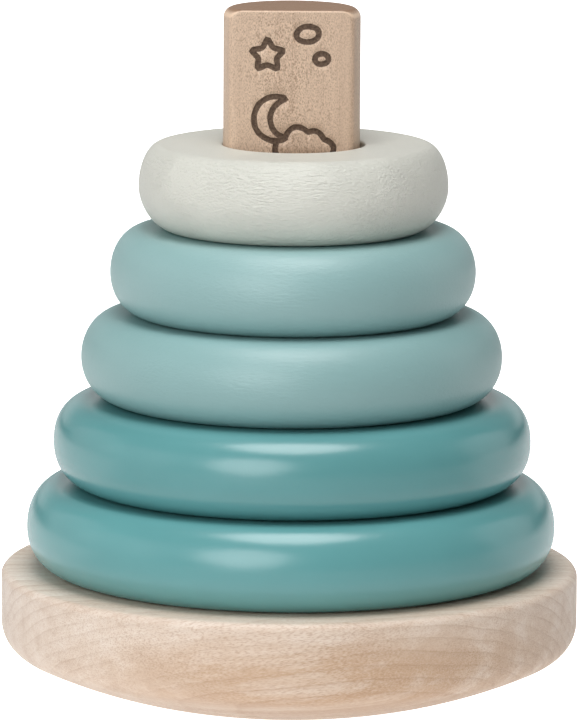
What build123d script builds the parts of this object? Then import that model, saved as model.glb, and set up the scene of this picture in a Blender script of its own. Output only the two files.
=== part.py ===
from build123d import *
import math
import os

# Wooden stacking ring toy: five painted rings of falling size stand on a round post,
# which is glued and screwed into a turned base with a crowned, rocking underside.
# Millimetres, +Z up. The origin is the middle of the small flat under the base.
# -Y is the front, where the post has its flat.

# Base
BASE_DIAMETER = 130.0
BASE_HEIGHT = 30.6
REST_FLAT_DIAMETER = 20.0
CROWN_RADIUS = 116.0
LOWER_EDGE_RADIUS = 7.7
UPPER_EDGE_RADIUS = 1.8

# Post
POST_DIAMETER = 30.6
POST_TOP = 157.3
POST_FLAT_OFFSET = 7.0
POST_CORNER_ROUND = 1.5
POST_TOP_ROUND = 2.2
POST_FLAT_EDGE_ROUND = 0.5
TENON_DIAMETER = 20.0
TENON_LENGTH = 13.6
GLUE_GAP = 0.05

# Rings, bottom to top
RING_DIAMETERS = (119.0, 107.4, 94.6, 82.0, 69.4)
RING_THICKNESS = 19.22
RING_BORE_DIAMETER = 31.9
RING_BORE_ROUND = 0.5
NOSE_TOP_WIDTHS = (6.9, 8.4, 7.4, 7.0, 5.0)
NOSE_BOTTOM_WIDTHS = (8.4, 8.6, 8.6, 8.4, 7.6)
RELIEF_INSET = 1.3
RELIEF_ANGLE = 5.0
RING_GAP = 0.02
# How far each ring sits to the +X side of the post, within the slack of its bore.
RING_OFFSETS = (0.3, 0.5, 0.3, 0.5, 0.5)

# Hidden fixing under the base
PLUG_DIAMETER = 12.0
PLUG_THICKNESS = 4.0
PLUG_RECESS = 0.3
PLUG_CHAMFER = 0.5
SCREW_HEAD_DIAMETER = 8.4
SCREW_HEAD_HEIGHT = 3.4
SCREW_SHANK_DIAMETER = 4.2
SCREW_THREAD_DIAMETER = 4.6
SCREW_CORE_DIAMETER = 3.2
SCREW_THREAD_PITCH = 1.8
SCREW_THREADS = 14
SCREW_POINT_LENGTH = 4.0
SCREW_CLEARANCE = 0.2
CROSS_SLOT_LENGTH = 4.6
CROSS_SLOT_WIDTH = 1.1
CROSS_SLOT_DEPTH = 1.6

BASE_RADIUS = BASE_DIAMETER / 2
SOCKET_DEPTH = TENON_LENGTH + 0.2
PLUG_TOP = PLUG_RECESS + PLUG_THICKNESS
HEAD_SEAT = PLUG_TOP + SCREW_HEAD_HEIGHT
THREAD_START = BASE_HEIGHT - TENON_LENGTH + 0.4
THREAD_END = THREAD_START + SCREW_THREADS * SCREW_THREAD_PITCH
SCREW_TIP = THREAD_END + SCREW_POINT_LENGTH


def revolved(outline):
    """Turn a closed outline in the XZ plane, on the +X side, around the Z axis."""
    return revolve(make_face(outline), Axis.Z)


def cylinder(diameter, low, high):
    """A solid cylinder on the Z axis between two heights."""
    return Pos(0, 0, low) * extrude(Circle(diameter / 2), high - low)


def point(radius, height):
    """A point of a turned outline, from its radius and its height."""
    return Vector(radius, 0, height)


def on_circle(centre, radius, angle):
    """A point on a circle of the XZ plane, with the angle in degrees from +X."""
    turn = math.radians(angle)
    return centre + Vector(radius * math.cos(turn), 0, radius * math.sin(turn))


def base_body():
    """Turned disc: flat top, round edges, and a crowned underside with a small flat."""
    flat = REST_FLAT_DIAMETER / 2
    crown_centre = point(flat, CROWN_RADIUS)
    blend_x = BASE_RADIUS - LOWER_EDGE_RADIUS
    reach = CROWN_RADIUS - LOWER_EDGE_RADIUS
    blend_z = CROWN_RADIUS - math.sqrt(reach**2 - (blend_x - flat) ** 2)
    blend_centre = point(blend_x, blend_z)
    join_angle = math.degrees(math.atan2(blend_z - CROWN_RADIUS, blend_x - flat))
    join = on_circle(blend_centre, LOWER_EDGE_RADIUS, join_angle)
    crown_middle = on_circle(crown_centre, CROWN_RADIUS, (join_angle - 90) / 2)
    blend_middle = on_circle(blend_centre, LOWER_EDGE_RADIUS, join_angle / 2)
    top_centre = point(BASE_RADIUS - UPPER_EDGE_RADIUS, BASE_HEIGHT - UPPER_EDGE_RADIUS)
    side_low = point(BASE_RADIUS, blend_z)
    side_high = point(BASE_RADIUS, top_centre.Z)
    top_edge = point(top_centre.X, BASE_HEIGHT)
    outline = [
        Line(point(0, 0), point(flat, 0)),
        ThreePointArc(point(flat, 0), crown_middle, join),
        ThreePointArc(join, blend_middle, side_low),
        Line(side_low, side_high),
        ThreePointArc(side_high, on_circle(top_centre, UPPER_EDGE_RADIUS, 45), top_edge),
        Line(top_edge, point(0, BASE_HEIGHT)),
        Line(point(0, BASE_HEIGHT), point(0, 0)),
    ]
    return revolved(outline)


def make_base():
    """The base, with the post's socket above and the screw and plug holes below."""
    base = base_body()
    base -= cylinder(TENON_DIAMETER, BASE_HEIGHT - SOCKET_DEPTH, BASE_HEIGHT)
    base -= cylinder(SCREW_SHANK_DIAMETER + 2 * SCREW_CLEARANCE, 0, BASE_HEIGHT)
    base -= cylinder(SCREW_HEAD_DIAMETER + 2 * SCREW_CLEARANCE, 0, HEAD_SEAT)
    base -= cylinder(PLUG_DIAMETER, 0, PLUG_TOP)
    return base


def make_post():
    """Post turned with a rounded top edge, then given one flat with eased edges."""
    radius = POST_DIAMETER / 2
    round_centre = point(radius - POST_TOP_ROUND, POST_TOP - POST_TOP_ROUND)
    outline = [
        Line(point(0, BASE_HEIGHT), point(radius, BASE_HEIGHT)),
        Line(point(radius, BASE_HEIGHT), point(radius, round_centre.Z)),
        ThreePointArc(
            point(radius, round_centre.Z),
            on_circle(round_centre, POST_TOP_ROUND, 45),
            point(round_centre.X, POST_TOP),
        ),
        Line(point(round_centre.X, POST_TOP), point(0, POST_TOP)),
        Line(point(0, POST_TOP), point(0, BASE_HEIGHT)),
    ]
    post = revolved(outline)
    depth = radius - POST_FLAT_OFFSET
    waste = Box(POST_DIAMETER, depth, POST_TOP)
    post -= Pos(0, -POST_FLAT_OFFSET - depth / 2, BASE_HEIGHT + POST_TOP / 2) * waste
    flat = post.faces().sort_by(Axis.Y)[0]
    post = fillet(flat.edges().filter_by(Axis.Z), POST_CORNER_ROUND)
    eased_y = -POST_FLAT_OFFSET + POST_FLAT_EDGE_ROUND
    eased_z = POST_TOP - POST_FLAT_EDGE_ROUND
    corner = Pos(0, eased_y, eased_z) * Rot(0, 90, 0)
    edge_waste = Pos(0, eased_y, eased_z) * Box(
        POST_DIAMETER, POST_DIAMETER, POST_DIAMETER, align=(Align.CENTER, Align.MAX, Align.MIN)
    )
    post -= edge_waste - corner * Cylinder(POST_FLAT_EDGE_ROUND, POST_DIAMETER)
    tenon_low = BASE_HEIGHT - TENON_LENGTH
    post += cylinder(TENON_DIAMETER - 2 * GLUE_GAP, tenon_low, BASE_HEIGHT)
    post -= cylinder(SCREW_THREAD_DIAMETER, tenon_low, SCREW_TIP)
    return post


def make_screw():
    """Flat-head wood screw, driven up from under the base, with a cross recess."""
    core = SCREW_CORE_DIAMETER / 2
    crest = SCREW_THREAD_DIAMETER / 2
    shank = SCREW_SHANK_DIAMETER / 2
    head = SCREW_HEAD_DIAMETER / 2
    points = [
        point(0, PLUG_TOP),
        point(head, PLUG_TOP),
        point(head, HEAD_SEAT - 2 * SCREW_CLEARANCE),
        point(head - SCREW_CLEARANCE, HEAD_SEAT),
        point(shank, HEAD_SEAT),
        point(shank, THREAD_START - SCREW_THREAD_PITCH / 2),
        point(core, THREAD_START),
    ]
    for turn in range(SCREW_THREADS):
        low = THREAD_START + turn * SCREW_THREAD_PITCH
        points.append(point(crest, low + SCREW_THREAD_PITCH / 2))
        points.append(point(core, low + SCREW_THREAD_PITCH))
    points.append(point(0, SCREW_TIP))
    screw = revolved(Polyline(*points, close=True))
    for angle in (0, 90):
        slot = Rectangle(CROSS_SLOT_LENGTH, CROSS_SLOT_WIDTH)
        screw -= Pos(0, 0, PLUG_TOP) * Rot(0, 0, angle) * extrude(slot, CROSS_SLOT_DEPTH)
    return screw


def make_plug():
    """Wooden cover plug below the screw head, set just inside the rest flat."""
    plug = cylinder(PLUG_DIAMETER - 2 * GLUE_GAP, PLUG_RECESS, PLUG_TOP)
    return chamfer(plug.edges().group_by(Axis.Z)[0], PLUG_CHAMFER)


def make_ring(index):
    """One turned ring: flat faces, a round-edged bore and a half-elliptical nose.

    The underside is relieved at its edge, which leaves a fine shadow line between rings.
    """
    low = BASE_HEIGHT + index * RING_THICKNESS
    high = low + RING_THICKNESS - RING_GAP
    middle = (low + high) / 2
    radius = RING_DIAMETERS[index] / 2
    bore = RING_BORE_DIAMETER / 2
    top_width = NOSE_TOP_WIDTHS[index]
    bottom_width = NOSE_BOTTOM_WIDTHS[index]
    half = (high - low) / 2
    top_edge = point(radius - top_width, high)
    bottom_edge = point(radius - bottom_width, low)
    nose_top = EllipticalCenterArc(
        (radius - top_width, middle), top_width, half, start_angle=0, arc_size=90
    )
    nose_bottom = EllipticalCenterArc(
        (radius - bottom_width, middle), bottom_width, half, start_angle=270, arc_size=90
    )
    low_bore = point(bore + RING_BORE_ROUND, low + RING_BORE_ROUND)
    high_bore = point(bore + RING_BORE_ROUND, high - RING_BORE_ROUND)
    outline = [
        Line(point(low_bore.X, low), bottom_edge),
        Plane.XZ * nose_bottom,
        Plane.XZ * nose_top,
        Line(top_edge, point(high_bore.X, high)),
        ThreePointArc(
            point(high_bore.X, high),
            on_circle(high_bore, RING_BORE_ROUND, 135),
            point(bore, high_bore.Z),
        ),
        Line(point(bore, high_bore.Z), point(bore, low_bore.Z)),
        ThreePointArc(
            point(bore, low_bore.Z),
            on_circle(low_bore, RING_BORE_ROUND, 225),
            point(low_bore.X, low),
        ),
    ]
    relief_start = point(bottom_edge.X - RELIEF_INSET, low)
    relief_rise = (radius - relief_start.X) * math.tan(math.radians(RELIEF_ANGLE))
    relief = Polyline(
        relief_start, point(radius, low), point(radius, low + relief_rise), close=True
    )
    ring = revolved(outline) - revolved(relief)
    return Pos(RING_OFFSETS[index], 0, 0) * ring


parts = {
    "base": make_base(),
    "post": make_post(),
    "post_screw": make_screw(),
    "screw_plug": make_plug(),
}
for ring_index in range(len(RING_DIAMETERS)):
    parts[f"ring_{ring_index + 1}"] = make_ring(ring_index)

os.makedirs("parts", exist_ok=True)
for name, shape in parts.items():
    export_step(shape, f"parts/{name}.step")
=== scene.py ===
import math

import bmesh
import bpy
from mathutils import Matrix, Vector, noise


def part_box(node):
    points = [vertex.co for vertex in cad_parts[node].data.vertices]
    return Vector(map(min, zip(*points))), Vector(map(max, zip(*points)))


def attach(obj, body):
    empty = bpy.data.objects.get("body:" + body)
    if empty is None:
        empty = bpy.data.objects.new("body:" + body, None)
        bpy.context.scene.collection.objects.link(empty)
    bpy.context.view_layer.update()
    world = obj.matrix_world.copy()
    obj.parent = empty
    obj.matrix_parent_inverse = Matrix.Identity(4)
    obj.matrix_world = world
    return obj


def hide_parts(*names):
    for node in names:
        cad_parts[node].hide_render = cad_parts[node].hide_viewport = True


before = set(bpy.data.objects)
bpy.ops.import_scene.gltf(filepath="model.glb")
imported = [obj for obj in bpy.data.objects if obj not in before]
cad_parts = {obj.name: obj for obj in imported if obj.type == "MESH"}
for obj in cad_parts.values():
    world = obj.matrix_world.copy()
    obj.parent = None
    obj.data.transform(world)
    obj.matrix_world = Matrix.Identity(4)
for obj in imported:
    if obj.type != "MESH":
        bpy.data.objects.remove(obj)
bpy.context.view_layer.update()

MM = 0.001

# Sizes in metres, from the dimensions in the CAD source, as radii where it has diameters.
POST_FLAT_OFFSET = 7.0 * MM
POST_CORNER_ROUND = 1.5 * MM
POST_TOP_ROUND = 2.2 * MM
POST_FLAT_EDGE_ROUND = 0.5 * MM
TENON_RADIUS = 9.95 * MM
SCREW_HOLE_RADIUS = 2.3 * MM
REST_FLAT_RADIUS = 10.0 * MM
CROWN_RADIUS = 116.0 * MM
LOWER_EDGE_RADIUS = 7.7 * MM
UPPER_EDGE_RADIUS = 1.8 * MM
PLUG_HOLE_RADIUS = 6.0 * MM
RING_BORE_RADIUS = 15.95 * MM
RING_BORE_ROUND = 0.5 * MM
NOSE_TOP_WIDTHS = (6.9 * MM, 8.4 * MM, 7.4 * MM, 7.0 * MM, 5.0 * MM)
NOSE_BOTTOM_WIDTHS = (8.4 * MM, 8.6 * MM, 8.6 * MM, 8.4 * MM, 7.6 * MM)

# How full each nose is, above and below its widest line: 2 is an ellipse.
NOSE_TOP_POWERS = (2.0, 2.25, 2.0, 2.0, 2.0)
NOSE_BOTTOM_POWERS = (2.2, 2.2, 2.1, 2.15, 1.85)
NOSE_STEPS = 30

# The fine relief at the edge of each ring's underside.
RING_RELIEF_WIDTH = 3.4 * MM
RING_RELIEF_HEIGHT = 0.3 * MM

# How far the hand-sanded surfaces stray from true, over what length, and how finely the
# turned pieces are meshed.
BASE_WOBBLE = 0.05 * MM
RING_WOBBLE = 0.06 * MM
WOBBLE_LENGTH = 30.0 * MM
BASE_SEGMENTS = 360
RING_SEGMENTS = 256

# The line drawing burnt into the post's flat.
LINE_WIDTH = 1.35 * MM
LINE_DEPTH = 0.2 * MM
LINE_EASE = 0.55 * MM
LINE_SPACING = 0.4 * MM
LINE_WANDER = 0.12 * MM
LINE_WANDER_LENGTH = 2.0 * MM
LINE_WIDTH_CHANGE = 0.05

# How far growth rings stray from true circles.
RING_SWAY = 3.5 * MM

# How much darker end grain is, by the axis of the grain.
END_GRAIN_SHARE = {"X": 0.1, "Z": 0.95}

# How much paler the painted highlight makes the post's top edges, and how far down from its top.
PAINTED_EDGE_HIGHLIGHT = 0.75
PAINTED_HIGHLIGHT_DEPTH = 3.0 * MM

# How far a ring's paint strays from its colour, as a share, and from its roughness.
PAINT_DRIFT = 0.03
ROUGHNESS_DRIFT = 0.015

# The floor: half its width, its darkest and palest tint, and how strongly its two patches
# glow. The room's light is a share of the white that the camera sees.
FLOOR_REACH = 6.0
FLOOR_TINTS = ((0.6, 0.6, 0.6, 1), (0.64, 0.64, 0.64, 1))
FLOOR_GLOW_NEAR = 0.45
FLOOR_GLOW_BEHIND = 0.6
ROOM_LIGHT = 0.03

# The camera: where it stands, in metres, how far it looks down and leans, in degrees, and
# its lens and sensor, in millimetres.
CAMERA_PLACE = (-0.0003, -1.4064, 0.3168)
CAMERA_PITCH = 9.653
CAMERA_ROLL = 0.3
CAMERA_LENS = 317.5
CAMERA_SENSOR = 36.0

# The lights all face one point in the toy, from one distance in metres. Each softbox is its
# name, degrees round from the front, degrees up, width, height and watts.
LIT_POINT = Vector((0, 0, 0.08))
LIGHT_DISTANCE = 1.3
SOFTBOXES = (
    ("key", -20.5, 18.8, 0.86, 0.92, 7.2),
    ("overhead", 0, 76, 0.92, 1.0, 12.8),
    ("front_left", -55, 18, 0.9, 0.9, 0.5),
    ("left", -80, 12, 1.0, 1.0, 1.3),
    ("left_back", -115, 14, 0.9, 1.0, 1.2),
    ("right_back", 112, 14, 0.9, 1.0, 1.75),
    ("back", 180, 22, 2.9, 1.0, 1.0),
    ("low_back", 180, 8, 1.8, 0.34, 0.9),
)


# ---------------------------------------------------------------- meshes

def superellipse(width, height, exponent, steps):
    """Points from (width, 0) to (0, height) along a quarter of a superellipse."""
    points = []
    for step in range(steps + 1):
        turn = math.pi / 2 * step / steps
        x = width * abs(math.cos(turn)) ** (2 / exponent)
        y = height * abs(math.sin(turn)) ** (2 / exponent)
        points.append((x, y))
    return points


def arc(centre, radius, start, end, steps):
    """Points on a circle of the outline's plane, from one angle in degrees to another."""
    points = []
    for step in range(steps + 1):
        turn = math.radians(start + (end - start) * step / steps)
        points.append((centre[0] + radius * math.cos(turn), centre[1] + radius * math.sin(turn)))
    return points


def line(start, end, steps):
    """Evenly spaced points between two points of an outline, without its last one."""
    return [
        tuple(a + (b - a) * step / steps for a, b in zip(start, end)) for step in range(steps)
    ]


def without_repeats(outline):
    """The outline with points that lie on the one before taken out."""
    kept = []
    for spot in outline:
        if not kept or math.dist(spot, kept[-1]) > 1e-6:
            kept.append(spot)
    return kept


def new_object(name, vertices, faces, material):
    """A smooth-shaded mesh object, linked to the scene."""
    mesh = bpy.data.meshes.new(name)
    mesh.from_pydata(vertices, [], faces)
    work = bmesh.new()
    work.from_mesh(mesh)
    bmesh.ops.recalc_face_normals(work, faces=work.faces)
    work.to_mesh(mesh)
    work.free()
    mesh.materials.append(material)
    mesh.shade_smooth()
    made = bpy.data.objects.new(name, mesh)
    bpy.context.scene.collection.objects.link(made)
    return made


def lathe(name, outline, segments, material, wobble, seed, centre_x=0.0):
    """Turn a closed outline of (radius, height) points into a surface round the Z axis.

    wobble is how far the surface strays inward from true, in metres.
    """
    outline = without_repeats(outline)
    vertices = []
    rows = []
    for radius, height in outline:
        row = []
        for segment in range(segments):
            turn = 2 * math.pi * segment / segments
            spot = Vector((math.cos(turn), math.sin(turn), height / WOBBLE_LENGTH + seed))
            reach = radius - wobble * abs(noise.noise(spot * 1.3))
            row.append(len(vertices))
            vertices.append((centre_x + reach * math.cos(turn), reach * math.sin(turn), height))
        rows.append(row)
    faces = []
    for low, high in zip(rows, rows[1:] + rows[:1]):
        for segment in range(segments):
            after = (segment + 1) % segments
            faces.append([low[segment], low[after], high[after], high[segment]])
    return new_object(name, vertices, faces, material)


# ---------------------------------------------------------------- materials

def add(tree, kind, inputs=None, **settings):
    """A shader node, with its settings, and its inputs set or linked."""
    made = tree.nodes.new("ShaderNode" + kind)
    for name, value in settings.items():
        setattr(made, name, value)
    for name, value in (inputs or {}).items():
        if isinstance(value, bpy.types.NodeSocket):
            tree.links.new(value, made.inputs[name])
        else:
            made.inputs[name].default_value = value
    return made


def srgb(red, green, blue):
    """A linear colour from 0 to 255 screen values."""
    channels = []
    for value in (red, green, blue):
        share = value / 255
        channels.append(share / 12.92 if share <= 0.04045 else ((share + 0.055) / 1.055) ** 2.4)
    return (*channels, 1.0)


def new_material(name):
    """A material with only a Principled shader, as (material, node tree, shader)."""
    material = bpy.data.materials.new(name)
    material.use_nodes = True
    tree = material.node_tree
    tree.nodes.clear()
    shader = add(tree, "BsdfPrincipled")
    output = add(tree, "OutputMaterial")
    tree.links.new(shader.outputs["BSDF"], output.inputs["Surface"])
    return material, tree, shader


def mapped(tree, rotation=(0, 0, 0), scale=(1, 1, 1), offset=(0, 0, 0)):
    """The object's own coordinates, turned, stretched and moved."""
    spot = add(tree, "TexCoord").outputs["Object"]
    inputs = {"Vector": spot, "Rotation": rotation, "Scale": scale, "Location": offset}
    return add(tree, "Mapping", inputs).outputs["Vector"]


def stretched(tree, block, share):
    """Coordinates in which a pattern is drawn out along the first axis, to 1 / share."""
    return add(tree, "Mapping", {"Vector": block, "Scale": (share, 1, 1)}).outputs["Vector"]


def noise_value(tree, vector, scale, detail=2.0, roughness=0.5):
    """Noise from 0 to 1."""
    inputs = {"Vector": vector, "Scale": scale, "Detail": detail, "Roughness": roughness}
    return add(tree, "TexNoise", inputs).outputs["Fac"]


def remap(tree, value, low, high, new_low=0.0, new_high=1.0, smooth=False):
    """A value carried from one range to another, and kept inside it."""
    inputs = {
        "Value": value,
        "From Min": low,
        "From Max": high,
        "To Min": new_low,
        "To Max": new_high,
    }
    kind = "SMOOTHSTEP" if smooth else "LINEAR"
    return add(tree, "MapRange", inputs, interpolation_type=kind).outputs["Result"]


def math_node(tree, operation, first, second=0.0):
    """One arithmetic step."""
    made = add(tree, "Math", {0: first, 1: second}, operation=operation)
    return made.outputs["Value"]


def mix(tree, share, first, second):
    """Two colours mixed. A Mix node's colour sockets are its inputs 6 and 7 and its output 2."""
    inputs = {0: share, 6: first, 7: second}
    return add(tree, "Mix", inputs, data_type="RGBA").outputs[2]


def growth_bands(tree, block, along, pith, ring_spacing):
    """Growth rings: distance from the pith, gently bent, each ending in a thin dark line."""
    bend = noise_value(tree, along, 34, detail=3)
    inputs = {"Vector": block, "Scale": (0, 1, 1), "Location": (0, *pith)}
    across = add(tree, "Mapping", inputs).outputs["Vector"]
    length = add(tree, "VectorMath", {0: across}, operation="LENGTH").outputs["Value"]
    swayed = math_node(tree, "ADD", length, remap(tree, bend, 0, 1, -RING_SWAY, RING_SWAY))
    ring = math_node(tree, "FRACT", math_node(tree, "DIVIDE", swayed, ring_spacing))
    late = remap(tree, ring, 0.35, 0.95, 0.0, 0.45, smooth=True)
    edge = remap(tree, ring, 0.8, 0.95, 0.0, 0.55, smooth=True)
    ending = remap(tree, ring, 0.95, 1.0, 1.0, 0.0)
    strength = remap(tree, noise_value(tree, along, 50, detail=2), 0.38, 0.66, 0.1, 1.0)
    band = math_node(tree, "MULTIPLY", math_node(tree, "ADD", late, edge), ending)
    return math_node(tree, "MULTIPLY", band, strength)


def deep_oval_share(tree, deep_oval, drift):
    """How strongly an oval of deeper colour shows, with an edge that wanders."""
    middle, reach, strength = deep_oval
    inputs = {
        "Vector": add(tree, "TexCoord").outputs["Object"],
        "Scale": (1 / reach[0], 0, 1 / reach[1]),
        "Location": (-middle[0] / reach[0], 0, -middle[1] / reach[1]),
    }
    spot = add(tree, "Mapping", inputs).outputs["Vector"]
    from_middle = add(tree, "VectorMath", {0: spot}, operation="LENGTH").outputs["Value"]
    wander = remap(tree, drift, 0.3, 0.7, -0.25, 0.25)
    wandered = math_node(tree, "ADD", from_middle, wander)
    return remap(tree, wandered, 0.2, 1.2, strength, 0.0, smooth=True)


def painted_highlight_share(tree, end_on, lowest):
    """How strongly a painted highlight pales the edges above a height, where the surface turns
    upward.
    """
    spot = add(tree, "TexCoord").outputs["Object"]
    height = add(tree, "SeparateXYZ", {"Vector": spot}).outputs["Z"]
    reached = remap(tree, height, lowest, lowest + MM, 0.0, PAINTED_EDGE_HIGHLIGHT)
    rising = remap(tree, end_on, 0.08, 0.3, smooth=True)
    falling = remap(tree, end_on, 0.45, 0.7, 1.0, 0.0, smooth=True)
    turning = math_node(tree, "MULTIPLY", rising, falling)
    return math_node(tree, "MULTIPLY", reached, turning)


def wood_material(
    name,
    grain,
    colours,
    pith,
    tilt,
    ring_spacing,
    line_share,
    fleck,
    seed,
    deep_oval=None,
    highlight_painted_above=None,
):
    """Clear-finished pale hardwood, cut from a solid block of grain.

    grain is the axis the fibres run along. colours are the pale early wood, the deep late
    wood and the dark of the flecks. pith is where the tree's centre line passes, as two
    distances across the grain, and tilt is how far the fibres lean to the part.
    ring_spacing is one year's growth, and line_share is how dark its line is. fleck is how
    fine the flecks are, their scale along the grain, and how strong the dark and the pale
    ones are. seed moves the part along the block. deep_oval is where an oval of deeper
    colour lies, in X and Z, how far it reaches and how strong it is. highlight_painted_above
    is the height above which the edges get a painted highlight.
    """
    pale, deep, dark = colours
    bright = tuple(min(1.0, channel * 1.2) for channel in pale[:3]) + (1.0,)
    fineness, slimness, fleck_share, ray_share = fleck
    material, tree, shader = new_material(name)
    turns = {"X": (0, tilt[0], tilt[1]), "Z": (tilt[0], math.pi / 2, tilt[1])}
    block = mapped(tree, rotation=turns[grain], offset=(0.01 * seed, 0, 0))
    along = stretched(tree, block, 0.12)
    band = growth_bands(tree, block, along, pith, ring_spacing)

    # Fibres, short flecks and pale rays between them, and slow drifts of colour.
    fibre = noise_value(tree, stretched(tree, block, 0.04), 1500, detail=3, roughness=0.6)
    slim = stretched(tree, block, slimness)
    speckle = noise_value(tree, slim, fineness, detail=1)
    crowding = remap(tree, noise_value(tree, along, 75, detail=2), 0.35, 0.65, 0.45, 1.0)
    spots = remap(tree, speckle, 0.5, 0.68, smooth=True)
    spots = math_node(tree, "MULTIPLY", spots, crowding)
    pale_spots = remap(tree, speckle, 0.47, 0.32, 0.0, ray_share, smooth=True)
    rays = math_node(tree, "MULTIPLY", pale_spots, crowding)
    drift = noise_value(tree, along, 24, detail=3)
    patch = noise_value(tree, stretched(tree, block, 0.08), 220, detail=3, roughness=0.6)

    base = mix(tree, remap(tree, drift, 0.32, 0.68, 0.0, 0.4), pale, deep)
    # Darker in a broad oval, where one is given.
    if deep_oval:
        base = mix(tree, deep_oval_share(tree, deep_oval, drift), base, deep)
    base = mix(tree, remap(tree, patch, 0.5, 0.7, 0.0, 0.22), base, dark)
    base = mix(tree, remap(tree, patch, 0.5, 0.3, 0.0, 0.45), base, pale)
    base = mix(tree, math_node(tree, "MULTIPLY", band, line_share), base, dark)
    base = mix(tree, remap(tree, fibre, 0.35, 0.75, 0.0, 0.25), base, deep)
    base = mix(tree, math_node(tree, "MULTIPLY", spots, fleck_share), base, dark)
    base = mix(tree, rays, base, bright)

    # End grain drinks the finish and goes darker than side grain. Where asked, the top edges get
    # a painted highlight, paler where the surface turns upward.
    facing = add(tree, "SeparateXYZ", {"Vector": add(tree, "TexCoord").outputs["Normal"]})
    end_on = math_node(tree, "ABSOLUTE", facing.outputs[grain])
    end_share = remap(tree, end_on, 0.55, 0.98, 0.0, END_GRAIN_SHARE[grain], smooth=True)
    base = mix(tree, end_share, base, dark)
    if highlight_painted_above is not None:
        base = mix(tree, painted_highlight_share(tree, end_on, highlight_painted_above), base, bright)
    tree.links.new(base, shader.inputs["Base Color"])

    rough = remap(tree, fibre, 0.3, 0.7, 0.42, 0.54)
    tree.links.new(rough, shader.inputs["Roughness"])
    shader.inputs["Specular IOR Level"].default_value = 0.6
    relief = math_node(tree, "ADD", fibre, math_node(tree, "MULTIPLY", spots, -0.8))
    bump = add(tree, "Bump", {"Height": relief, "Strength": 0.3, "Distance": 0.00006})
    tree.links.new(bump.outputs["Normal"], shader.inputs["Normal"])
    return material


def paint_material(name, colour, roughness, peel, grain_relief, seed):
    """Sprayed lacquer over turned wood: faint colour drift, orange peel and raised grain.

    peel and grain_relief are how high the two stand. seed moves the patterns.
    """
    material, tree, shader = new_material(name)
    place = mapped(tree, offset=(0.1 * seed, 0.2 * seed, 0))
    drift = noise_value(tree, place, 35, detail=3)
    darker = tuple(channel * (1 - PAINT_DRIFT) for channel in colour[:3]) + (1.0,)
    paler = tuple(min(1.0, channel * (1 + PAINT_DRIFT)) for channel in colour[:3]) + (1.0,)
    tint = mix(tree, remap(tree, drift, 0.3, 0.7), darker, paler)
    speck = remap(tree, noise_value(tree, place, 1500, detail=1), 0.6, 0.8, 0.0, 0.5, smooth=True)
    tint = mix(tree, speck, tint, darker)
    tree.links.new(tint, shader.inputs["Base Color"])

    haze = noise_value(tree, place, 1100, detail=2)
    limits = (roughness - ROUGHNESS_DRIFT, roughness + ROUGHNESS_DRIFT)
    tree.links.new(remap(tree, haze, 0.3, 0.7, *limits), shader.inputs["Roughness"])
    shader.inputs["IOR"].default_value = 1.5
    shader.inputs["Specular IOR Level"].default_value = 0.7

    pebble = noise_value(tree, place, 420, detail=4, roughness=0.72)
    fibre = noise_value(tree, stretched(tree, place, 0.22), 2000, detail=3, roughness=0.65)
    patches = remap(tree, noise_value(tree, place, 70, detail=2), 0.35, 0.65, 0.5, 1.0)
    patchy = math_node(tree, "MULTIPLY", fibre, patches)
    raised = math_node(tree, "MULTIPLY", patchy, grain_relief)
    relief = math_node(tree, "ADD", math_node(tree, "MULTIPLY", pebble, peel), raised)
    bump = add(tree, "Bump", {"Height": relief, "Strength": 1.0, "Distance": 0.0001})
    tree.links.new(bump.outputs["Normal"], shader.inputs["Normal"])
    return material


def burnt_material():
    """Wood scorched dark brown by the burning tool, mottled along the line."""
    material, tree, shader = new_material("burnt_line")
    place = mapped(tree)
    mottle = noise_value(tree, place, 1600, detail=3, roughness=0.6)
    tint = mix(tree, remap(tree, mottle, 0.35, 0.7), srgb(80, 62, 50), srgb(120, 98, 80))
    tree.links.new(tint, shader.inputs["Base Color"])
    shader.inputs["Roughness"].default_value = 0.85
    bump = add(tree, "Bump", {"Height": mottle, "Strength": 0.4, "Distance": 0.00005})
    tree.links.new(bump.outputs["Normal"], shader.inputs["Normal"])
    return material


def steel_material():
    """Zinc-plated steel, with fine bright and dark lines round its axis."""
    material, tree, shader = new_material("screw_steel")
    place = mapped(tree, scale=(1, 1, 40))
    brushed = noise_value(tree, place, 300, detail=3)
    tint = mix(tree, remap(tree, brushed, 0.3, 0.7), srgb(150, 152, 156), srgb(196, 198, 202))
    tree.links.new(tint, shader.inputs["Base Color"])
    tree.links.new(remap(tree, brushed, 0.3, 0.7, 0.22, 0.42), shader.inputs["Roughness"])
    shader.inputs["Metallic"].default_value = 1.0
    return material


# ---------------------------------------------------------------- the toy

def ring_outline(low, high, radius, widths, powers):
    """Closed outline of one ring: bore, flat faces and a rounded nose.

    widths and powers are the nose's, above and below its widest line. The flat underside
    is relieved at its edge, which leaves a fine shadow line.
    """
    top_width, bottom_width = widths
    middle = (low + high) / 2
    half = (high - low) / 2
    bore_edge = RING_BORE_RADIUS + RING_BORE_ROUND
    outline = []
    lower = superellipse(bottom_width, half, powers[1], NOSE_STEPS)
    nose = [(radius - bottom_width + x, middle - y) for x, y in reversed(lower)]
    nose = [spot for spot in nose if spot[1] > low + RING_RELIEF_HEIGHT]
    relief_start = (nose[0][0] - RING_RELIEF_WIDTH, low)
    outline += line((bore_edge, low), relief_start, 12)
    outline += line(relief_start, nose[0], 4)
    outline += nose
    for x, y in superellipse(top_width, half, powers[0], NOSE_STEPS):
        outline.append((radius - top_width + x, middle + y))
    outline += line((radius - top_width, high), (bore_edge, high), 12)
    outline += arc((bore_edge, high - RING_BORE_ROUND), RING_BORE_ROUND, 90, 180, 6)
    outline += line(
        (RING_BORE_RADIUS, high - RING_BORE_ROUND), (RING_BORE_RADIUS, low + RING_BORE_ROUND), 8
    )
    outline += arc((bore_edge, low + RING_BORE_ROUND), RING_BORE_ROUND, 180, 270, 6)
    return outline


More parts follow.
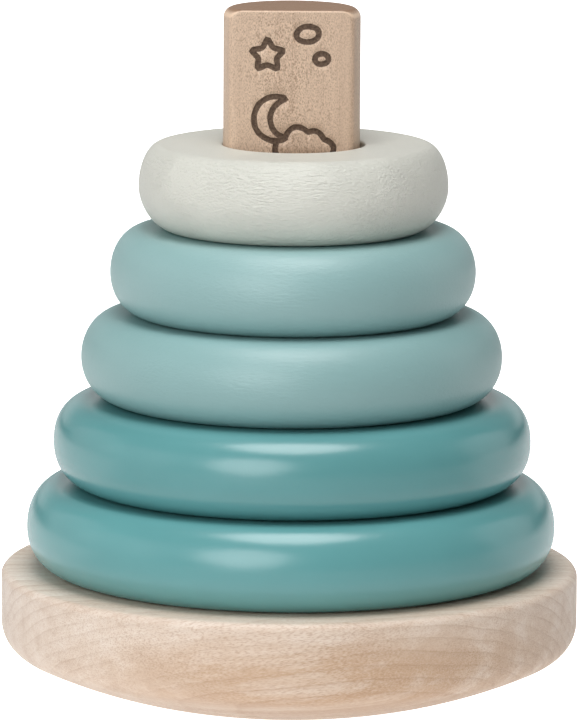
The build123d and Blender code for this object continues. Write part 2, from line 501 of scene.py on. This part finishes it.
def make_ring(number, material):
    """A painted ring in place of its CAD node."""
    node = f"ring_{number}"
    low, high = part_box(node)
    radius = (high.x - low.x) / 2
    widths = (NOSE_TOP_WIDTHS[number - 1], NOSE_BOTTOM_WIDTHS[number - 1])
    powers = (NOSE_TOP_POWERS[number - 1], NOSE_BOTTOM_POWERS[number - 1])
    outline = ring_outline(low.z, high.z, radius, widths, powers)
    ring = lathe(
        f"painted_ring_{number}",
        outline,
        RING_SEGMENTS,
        material,
        RING_WOBBLE,
        seed=number,
        centre_x=(low.x + high.x) / 2,
    )
    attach(ring, f"ring_{number}_body")
    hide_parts(node)


def make_base(material):
    """The turned base, with its crowned underside and its hidden holes."""
    low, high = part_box("base")
    radius = (high.x - low.x) / 2
    top = high.z

    # The crown starts level at the edge of the rest flat, and runs on into the lower edge.
    reach = CROWN_RADIUS - LOWER_EDGE_RADIUS
    blend_x = radius - LOWER_EDGE_RADIUS
    blend_z = CROWN_RADIUS - math.sqrt(reach**2 - (blend_x - REST_FLAT_RADIUS) ** 2)
    join = math.degrees(math.atan2(blend_z - CROWN_RADIUS, blend_x - REST_FLAT_RADIUS))

    # The screw's shank is half as wide as its head.
    screw_low, screw_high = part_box("post_screw")
    shank_radius = (screw_high.x - screw_low.x) / 4
    socket_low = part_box("post")[0].z
    plug_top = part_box("screw_plug")[1].z
    outline = [(shank_radius, socket_low), (shank_radius, plug_top)]
    outline.append((PLUG_HOLE_RADIUS, plug_top))
    outline += line((PLUG_HOLE_RADIUS, 0), (REST_FLAT_RADIUS, 0), 4)
    outline += arc((REST_FLAT_RADIUS, CROWN_RADIUS), CROWN_RADIUS, -90, join, 60)
    outline += arc((blend_x, blend_z), LOWER_EDGE_RADIUS, join, 0, 16)
    outline += line((radius, blend_z), (radius, top - UPPER_EDGE_RADIUS), 10)
    edge = (radius - UPPER_EDGE_RADIUS, top - UPPER_EDGE_RADIUS)
    outline += arc(edge, UPPER_EDGE_RADIUS, 0, 90, 12)
    outline += line((edge[0], top), (TENON_RADIUS, top), 30)
    outline += [(TENON_RADIUS, top), (TENON_RADIUS, socket_low)]
    base = lathe("turned_base", outline, BASE_SEGMENTS, material, BASE_WOBBLE, seed=9)
    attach(base, "base_body")
    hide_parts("base")


def post_section(reach, depth, height):
    """Loop round the post at one height: a circle cut by one flat, its corners eased."""
    corner = POST_CORNER_ROUND
    corner_y = -depth + corner
    corner_x = math.sqrt((reach - corner) ** 2 - corner_y**2)
    swing = math.degrees(math.atan2(corner_y, corner_x))
    outline = line((-corner_x, -depth), (corner_x, -depth), 40)
    outline += arc((corner_x, corner_y), corner, -90, swing, 6)[:-1]
    outline += arc((0, 0), reach, swing, 180 - swing, 84)[:-1]
    outline += arc((-corner_x, corner_y), corner, 180 - swing, 270, 6)[:-1]
    return [(x, y, height) for x, y in outline]


def round_section(reach, radius, height):
    """Loop on a circle, with its points in line with those of the post's own section."""
    loop = []
    for x, y, _ in post_section(radius, POST_FLAT_OFFSET, height):
        turn = math.atan2(y, x)
        loop.append((reach * math.cos(turn), reach * math.sin(turn), height))
    return loop


def loft(name, loops, material):
    """A closed surface through loops of points, with a flat cap at each end."""
    count = len(loops[0])
    vertices = [spot for loop in loops for spot in loop]
    faces = [list(reversed(range(count)))]
    for level in range(len(loops) - 1):
        for index in range(count):
            after = (index + 1) % count
            low = level * count
            faces.append([low + index, low + after, low + count + after, low + count + index])
    faces.append([(len(loops) - 1) * count + index for index in range(count)])
    return new_object(name, vertices, faces, material)


def post_blank(material):
    """The plain post with its tenon, before the drawing is burnt in."""
    low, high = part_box("post")
    radius = (high.x - low.x) / 2
    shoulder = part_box("base")[1].z
    straight_top = high.z - POST_TOP_ROUND
    screw_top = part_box("post_screw")[1].z
    loops = [
        round_section(SCREW_HOLE_RADIUS, radius, screw_top),
        round_section(SCREW_HOLE_RADIUS, radius, low.z),
        round_section(TENON_RADIUS, radius, low.z),
        round_section(TENON_RADIUS, radius, shoulder),
    ]
    levels = 44
    for level in range(levels + 1):
        height = shoulder + (straight_top - shoulder) * level / levels
        loops.append(post_section(radius, POST_FLAT_OFFSET, height))
    steps = 18
    for step in range(1, steps + 1):
        turn = math.pi / 2 * step / steps
        height = straight_top + POST_TOP_ROUND * math.sin(turn)
        above = (height - high.z) / POST_FLAT_EDGE_ROUND + 1
        above = min(1.0, max(0.0, above))
        easing = POST_FLAT_EDGE_ROUND * (1 - math.sqrt(1 - above**2))
        reach = radius - POST_TOP_ROUND * (1 - math.cos(turn))
        loops.append(post_section(reach, POST_FLAT_OFFSET - easing, height))

    # A narrow flat rim keeps the shading of the cap apart from that of the rounding.
    rim = 0.4 * MM
    reach = radius - POST_TOP_ROUND - rim
    loops.append(post_section(reach, POST_FLAT_OFFSET - POST_FLAT_EDGE_ROUND - rim, high.z))
    return loft("flatted_post", loops, material)


def star_stroke(centre, radius):
    """A hand-drawn five-pointed star, as a closed line of points."""
    waist = 0.52
    stroke = []
    for corner in range(10):
        turn = math.radians(90 + 36 * corner)
        reach = radius * (1.0 if corner % 2 == 0 else waist)
        stroke.append((centre[0] + reach * math.cos(turn), centre[1] + reach * math.sin(turn)))
    return stroke


def oval_stroke(centre, width, height, lean=0.0):
    """A small oval ring, leaning by an angle in radians, as a closed line of points."""
    steps = 28
    stroke = []
    for step in range(steps):
        turn = 2 * math.pi * step / steps
        x, y = width * math.cos(turn), height * math.sin(turn)
        lean_x = x * math.cos(lean) - y * math.sin(lean)
        lean_y = x * math.sin(lean) + y * math.cos(lean)
        stroke.append((centre[0] + lean_x, centre[1] + lean_y))
    return stroke


def moon_stroke(centre, radius):
    """A crescent moon: an arc outside and another inside, from tip to tip."""
    outer = arc(centre, radius, 62, 298, 30)
    tip = outer[0]
    inner_x = centre[0] + 0.62 * radius
    inner_radius = math.dist((inner_x, centre[1]), tip)
    swing = math.degrees(math.atan2(tip[1] - centre[1], tip[0] - inner_x))
    inner = arc((inner_x, centre[1]), inner_radius, 360 - swing, swing, 24)
    return without_repeats(outer + inner)[:-1]


def cloud_stroke(centre, size):
    """A cloud of four round puffs on a flat foot.

    Each puff is its place, its radius and the degrees its arc runs between.
    """
    puffs = ((-0.62, 0.02, 0.36, 250, 92), (-0.2, 0.36, 0.42, 168, 38))
    puffs += ((0.36, 0.3, 0.34, 120, 10), (0.74, 0.0, 0.32, 78, -90))
    stroke = []
    for x, y, radius, start, end in puffs:
        middle = (centre[0] + x * size, centre[1] + y * size)
        stroke += arc(middle, radius * size, start, end, 12)
    return without_repeats(stroke)


def eased(stroke, ease, spacing):
    """A closed line with its corners rounded and its points evenly close together."""
    bend_steps = 4
    rounded = []
    count = len(stroke)
    for index in range(count):
        before, corner, after = (Vector(stroke[(index + step) % count]) for step in (-1, 0, 1))
        start = corner + (before - corner) * min(0.5, ease / (before - corner).length)
        end = corner + (after - corner) * min(0.5, ease / (after - corner).length)
        for step in range(bend_steps + 1):
            share = step / bend_steps
            bend = start.lerp(corner, share).lerp(corner.lerp(end, share), share)
            rounded.append(bend)
    evenly = [rounded[0]]
    for spot in rounded[1:]:
        gap = (spot - evenly[-1]).length
        pieces = int(gap / spacing)
        if pieces:
            last = evenly[-1]
            evenly += [last.lerp(spot, (piece + 1) / pieces) for piece in range(pieces)]
    return evenly


def burning_tool(strokes, face_y, material):
    """Tubes along the strokes, in front of a face, so that only LINE_DEPTH bites into it.

    The hand-guided line wanders a little and its width varies.
    """
    half = LINE_WIDTH / 2
    tool_radius = (half**2 + LINE_DEPTH**2) / (2 * LINE_DEPTH)
    tool_y = face_y - (tool_radius - LINE_DEPTH)
    curve = bpy.data.curves.new("burning_tool", "CURVE")
    curve.dimensions = "3D"
    curve.bevel_depth = tool_radius
    curve.bevel_resolution = 4
    for stroke in strokes:
        path = eased(stroke, LINE_EASE, LINE_SPACING)
        spline = curve.splines.new("POLY")
        spline.points.add(len(path) - 1)
        spline.use_cyclic_u = True
        for point, (x, z) in zip(spline.points, path):
            spot = Vector((x, 0, z)) / LINE_WANDER_LENGTH
            stray_x, stray_z = noise.noise(spot), noise.noise(spot + Vector((7, 7, 7)))
            point.co = (x + LINE_WANDER * stray_x, tool_y, z + LINE_WANDER * stray_z, 1)
            point.radius = 1.0 + LINE_WIDTH_CHANGE * noise.noise(spot * 2.3 + Vector((3, 0, 5)))
    curve.materials.append(material)
    tubes = bpy.data.objects.new("burning_tubes", curve)
    bpy.context.scene.collection.objects.link(tubes)
    bpy.context.view_layer.update()
    tool = bpy.data.objects.new("burning_tool", bpy.data.meshes.new_from_object(tubes))
    bpy.context.scene.collection.objects.link(tool)
    bpy.data.objects.remove(tubes)
    return tool


def burn_lines(post, strokes, face_y, material):
    """Cut the drawing into the post's flat as shallow round-bottomed grooves."""
    tool = burning_tool(strokes, face_y, material)
    cut = post.modifiers.new("burnt_lines", "BOOLEAN")
    cut.operation = "DIFFERENCE"
    cut.solver = "EXACT"
    cut.use_self = True
    cut.material_mode = "TRANSFER"
    cut.object = tool
    bpy.context.view_layer.update()
    graph = bpy.context.evaluated_depsgraph_get()
    carved = bpy.data.meshes.new_from_object(post.evaluated_get(graph))
    post.modifiers.clear()
    post.data = carved
    bpy.data.objects.remove(tool)


def make_post(material, burnt):
    """The post with its line drawing: a star, two ovals, and a moon over a cloud."""
    post = post_blank(material)
    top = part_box("post")[1].z
    strokes = [
        star_stroke((-5.4 * MM, top - 10.1 * MM), 3.9 * MM),
        oval_stroke((3.5 * MM, top - 5.3 * MM), 2.5 * MM, 1.75 * MM, 0.12),
        oval_stroke((6.6 * MM, top - 10.8 * MM), 1.55 * MM, 1.15 * MM),
        moon_stroke((-3.4 * MM, top - 24.2 * MM), 5.0 * MM),
        cloud_stroke((2.6 * MM, top - 31.0 * MM), 6.4 * MM),
    ]
    burn_lines(post, strokes, -POST_FLAT_OFFSET, burnt)
    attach(post, "base_body")
    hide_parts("post")


# ---------------------------------------------------------------- studio

def softbox(name, azimuth, elevation, width, height, power):
    """A soft area light that faces the toy, at an angle from the front and one from level."""
    turn = math.radians(azimuth)
    rise = math.radians(elevation)
    level = math.cos(rise)
    away = Vector((math.sin(turn) * level, -math.cos(turn) * level, math.sin(rise)))
    data = bpy.data.lights.new(name, "AREA")
    data.shape = "ELLIPSE"
    data.size = width
    data.size_y = height
    data.energy = power
    made = bpy.data.objects.new(name, data)
    bpy.context.scene.collection.objects.link(made)
    made.location = LIT_POINT + LIGHT_DISTANCE * away
    made.rotation_euler = (-away).to_track_quat("-Z", "Y").to_euler()
    made.visible_camera = False


def make_floor():
    """A large pale floor under the toy, which the camera sees as lit white paper.

    For the toy itself only two patches of it glow: one behind, which shows in the lacquer
    at the rims, and one close round the base, which lights its underside.
    """
    material, tree, shader = new_material("floor_paper")
    spot = mapped(tree)
    tone = noise_value(tree, spot, 3, detail=2)
    tint = mix(tree, remap(tree, tone, 0.3, 0.7), *FLOOR_TINTS)
    tree.links.new(tint, shader.inputs["Base Color"])
    shader.inputs["Roughness"].default_value = 0.9
    shader.inputs["Emission Color"].default_value = (1, 1, 1, 1)
    seen = add(tree, "LightPath").outputs["Is Camera Ray"]
    depth = add(tree, "SeparateXYZ", {"Vector": spot}).outputs["Y"]
    from_toy = add(tree, "VectorMath", {0: spot}, operation="LENGTH").outputs["Value"]
    behind = remap(tree, depth, -0.04, 0.03, 0.0, FLOOR_GLOW_BEHIND, smooth=True)
    near = remap(tree, from_toy, 0.1, 0.2, FLOOR_GLOW_NEAR, 0.0, smooth=True)
    patches = math_node(tree, "MAXIMUM", behind, near)
    glow = math_node(tree, "ADD", patches, seen)
    tree.links.new(glow, shader.inputs["Emission Strength"])
    reach = FLOOR_REACH
    corners = [(-reach, -reach, 0), (reach, -reach, 0), (reach, reach, 0), (-reach, reach, 0)]
    new_object("floor", corners, [[0, 1, 2, 3]], material)


def make_world():
    """White surroundings that add only a little light of their own."""
    world = bpy.data.worlds.new("white_room")
    world.use_nodes = True
    tree = world.node_tree
    tree.nodes.clear()
    seen = add(tree, "LightPath").outputs["Is Camera Ray"]
    strength = remap(tree, seen, 0, 1, ROOM_LIGHT, 1.0)
    sky = add(tree, "Background", {"Color": (1, 1, 1, 1), "Strength": strength})
    output = add(tree, "OutputWorld")
    tree.links.new(sky.outputs["Background"], output.inputs["Surface"])
    bpy.context.scene.world = world


def make_camera():
    """A long lens, a little above the toy and looking down on it."""
    pitch = math.radians(CAMERA_PITCH)
    roll = math.radians(CAMERA_ROLL)
    data = bpy.data.cameras.new("camera")
    data.sensor_width = CAMERA_SENSOR
    data.lens = CAMERA_LENS
    data.clip_start = 0.05
    data.clip_end = 50.0
    camera = bpy.data.objects.new("camera", data)
    bpy.context.scene.collection.objects.link(camera)
    turn = Matrix.Rotation(math.pi / 2 - pitch, 4, "X") @ Matrix.Rotation(roll, 4, "Z")
    camera.matrix_world = Matrix.Translation(CAMERA_PLACE) @ turn
    bpy.context.scene.camera = camera


# Colour, roughness, orange peel and raised grain of each ring's paint, bottom to top.
RING_FINISHES = (
    (srgb(103, 165, 167), 0.25, 0.3, 0.0),
    (srgb(100, 160, 162), 0.25, 0.3, 0.0),
    (srgb(145, 183, 183), 0.4, 0.3, 1.4),
    (srgb(150, 187, 187), 0.4, 0.3, 1.5),
    (srgb(229, 229, 219), 0.42, 0.7, 7.0),
)

BASE_WOOD = wood_material(
    "base_wood",
    "X",
    (srgb(250, 238, 226), srgb(200, 162, 126), srgb(176, 134, 102)),
    pith=(0.09, 0.085),
    tilt=(0.12, 0.03),
    ring_spacing=0.0025,
    line_share=0.36,
    fleck=(4300, 0.22, 0.42, 0.14),
    # The base is darker in a broad oval across the middle of its side.
    deep_oval=((0.014, 0.017), (0.07, 0.015), 0.8),
    seed=1,
)
POST_WOOD = wood_material(
    "post_wood",
    "Z",
    (srgb(226, 198, 172), srgb(200, 170, 145), srgb(157, 123, 97)),
    pith=(0.03, 0.05),
    tilt=(0.0, 0.03),
    ring_spacing=0.0032,
    line_share=0.2,
    fleck=(3900, 0.6, 0.66, 0.6),
    seed=2,
    # The post's top edges get a painted highlight.
    highlight_painted_above=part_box("post")[1].z - PAINTED_HIGHLIGHT_DEPTH,
)
PLUG_WOOD = wood_material(
    "plug_wood",
    "Z",
    (srgb(214, 188, 160), srgb(190, 160, 130), srgb(150, 118, 92)),
    pith=(0.004, 0.006),
    tilt=(0.0, 0.0),
    ring_spacing=0.0016,
    line_share=0.4,
    fleck=(2400, 0.4, 0.4, 0.4),
    seed=3,
)

for number, finish in enumerate(RING_FINISHES, start=1):
    make_ring(number, paint_material(f"ring_{number}_paint", *finish, seed=number))
make_base(BASE_WOOD)
make_post(POST_WOOD, burnt_material())

for node, material in (("screw_plug", PLUG_WOOD), ("post_screw", steel_material())):
    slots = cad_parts[node].data.materials
    slots.clear()
    slots.append(material)

make_floor()
make_world()
make_camera()
for light in SOFTBOXES:
    softbox(*light)

bpy.context.scene.view_settings.view_transform = "Standard"
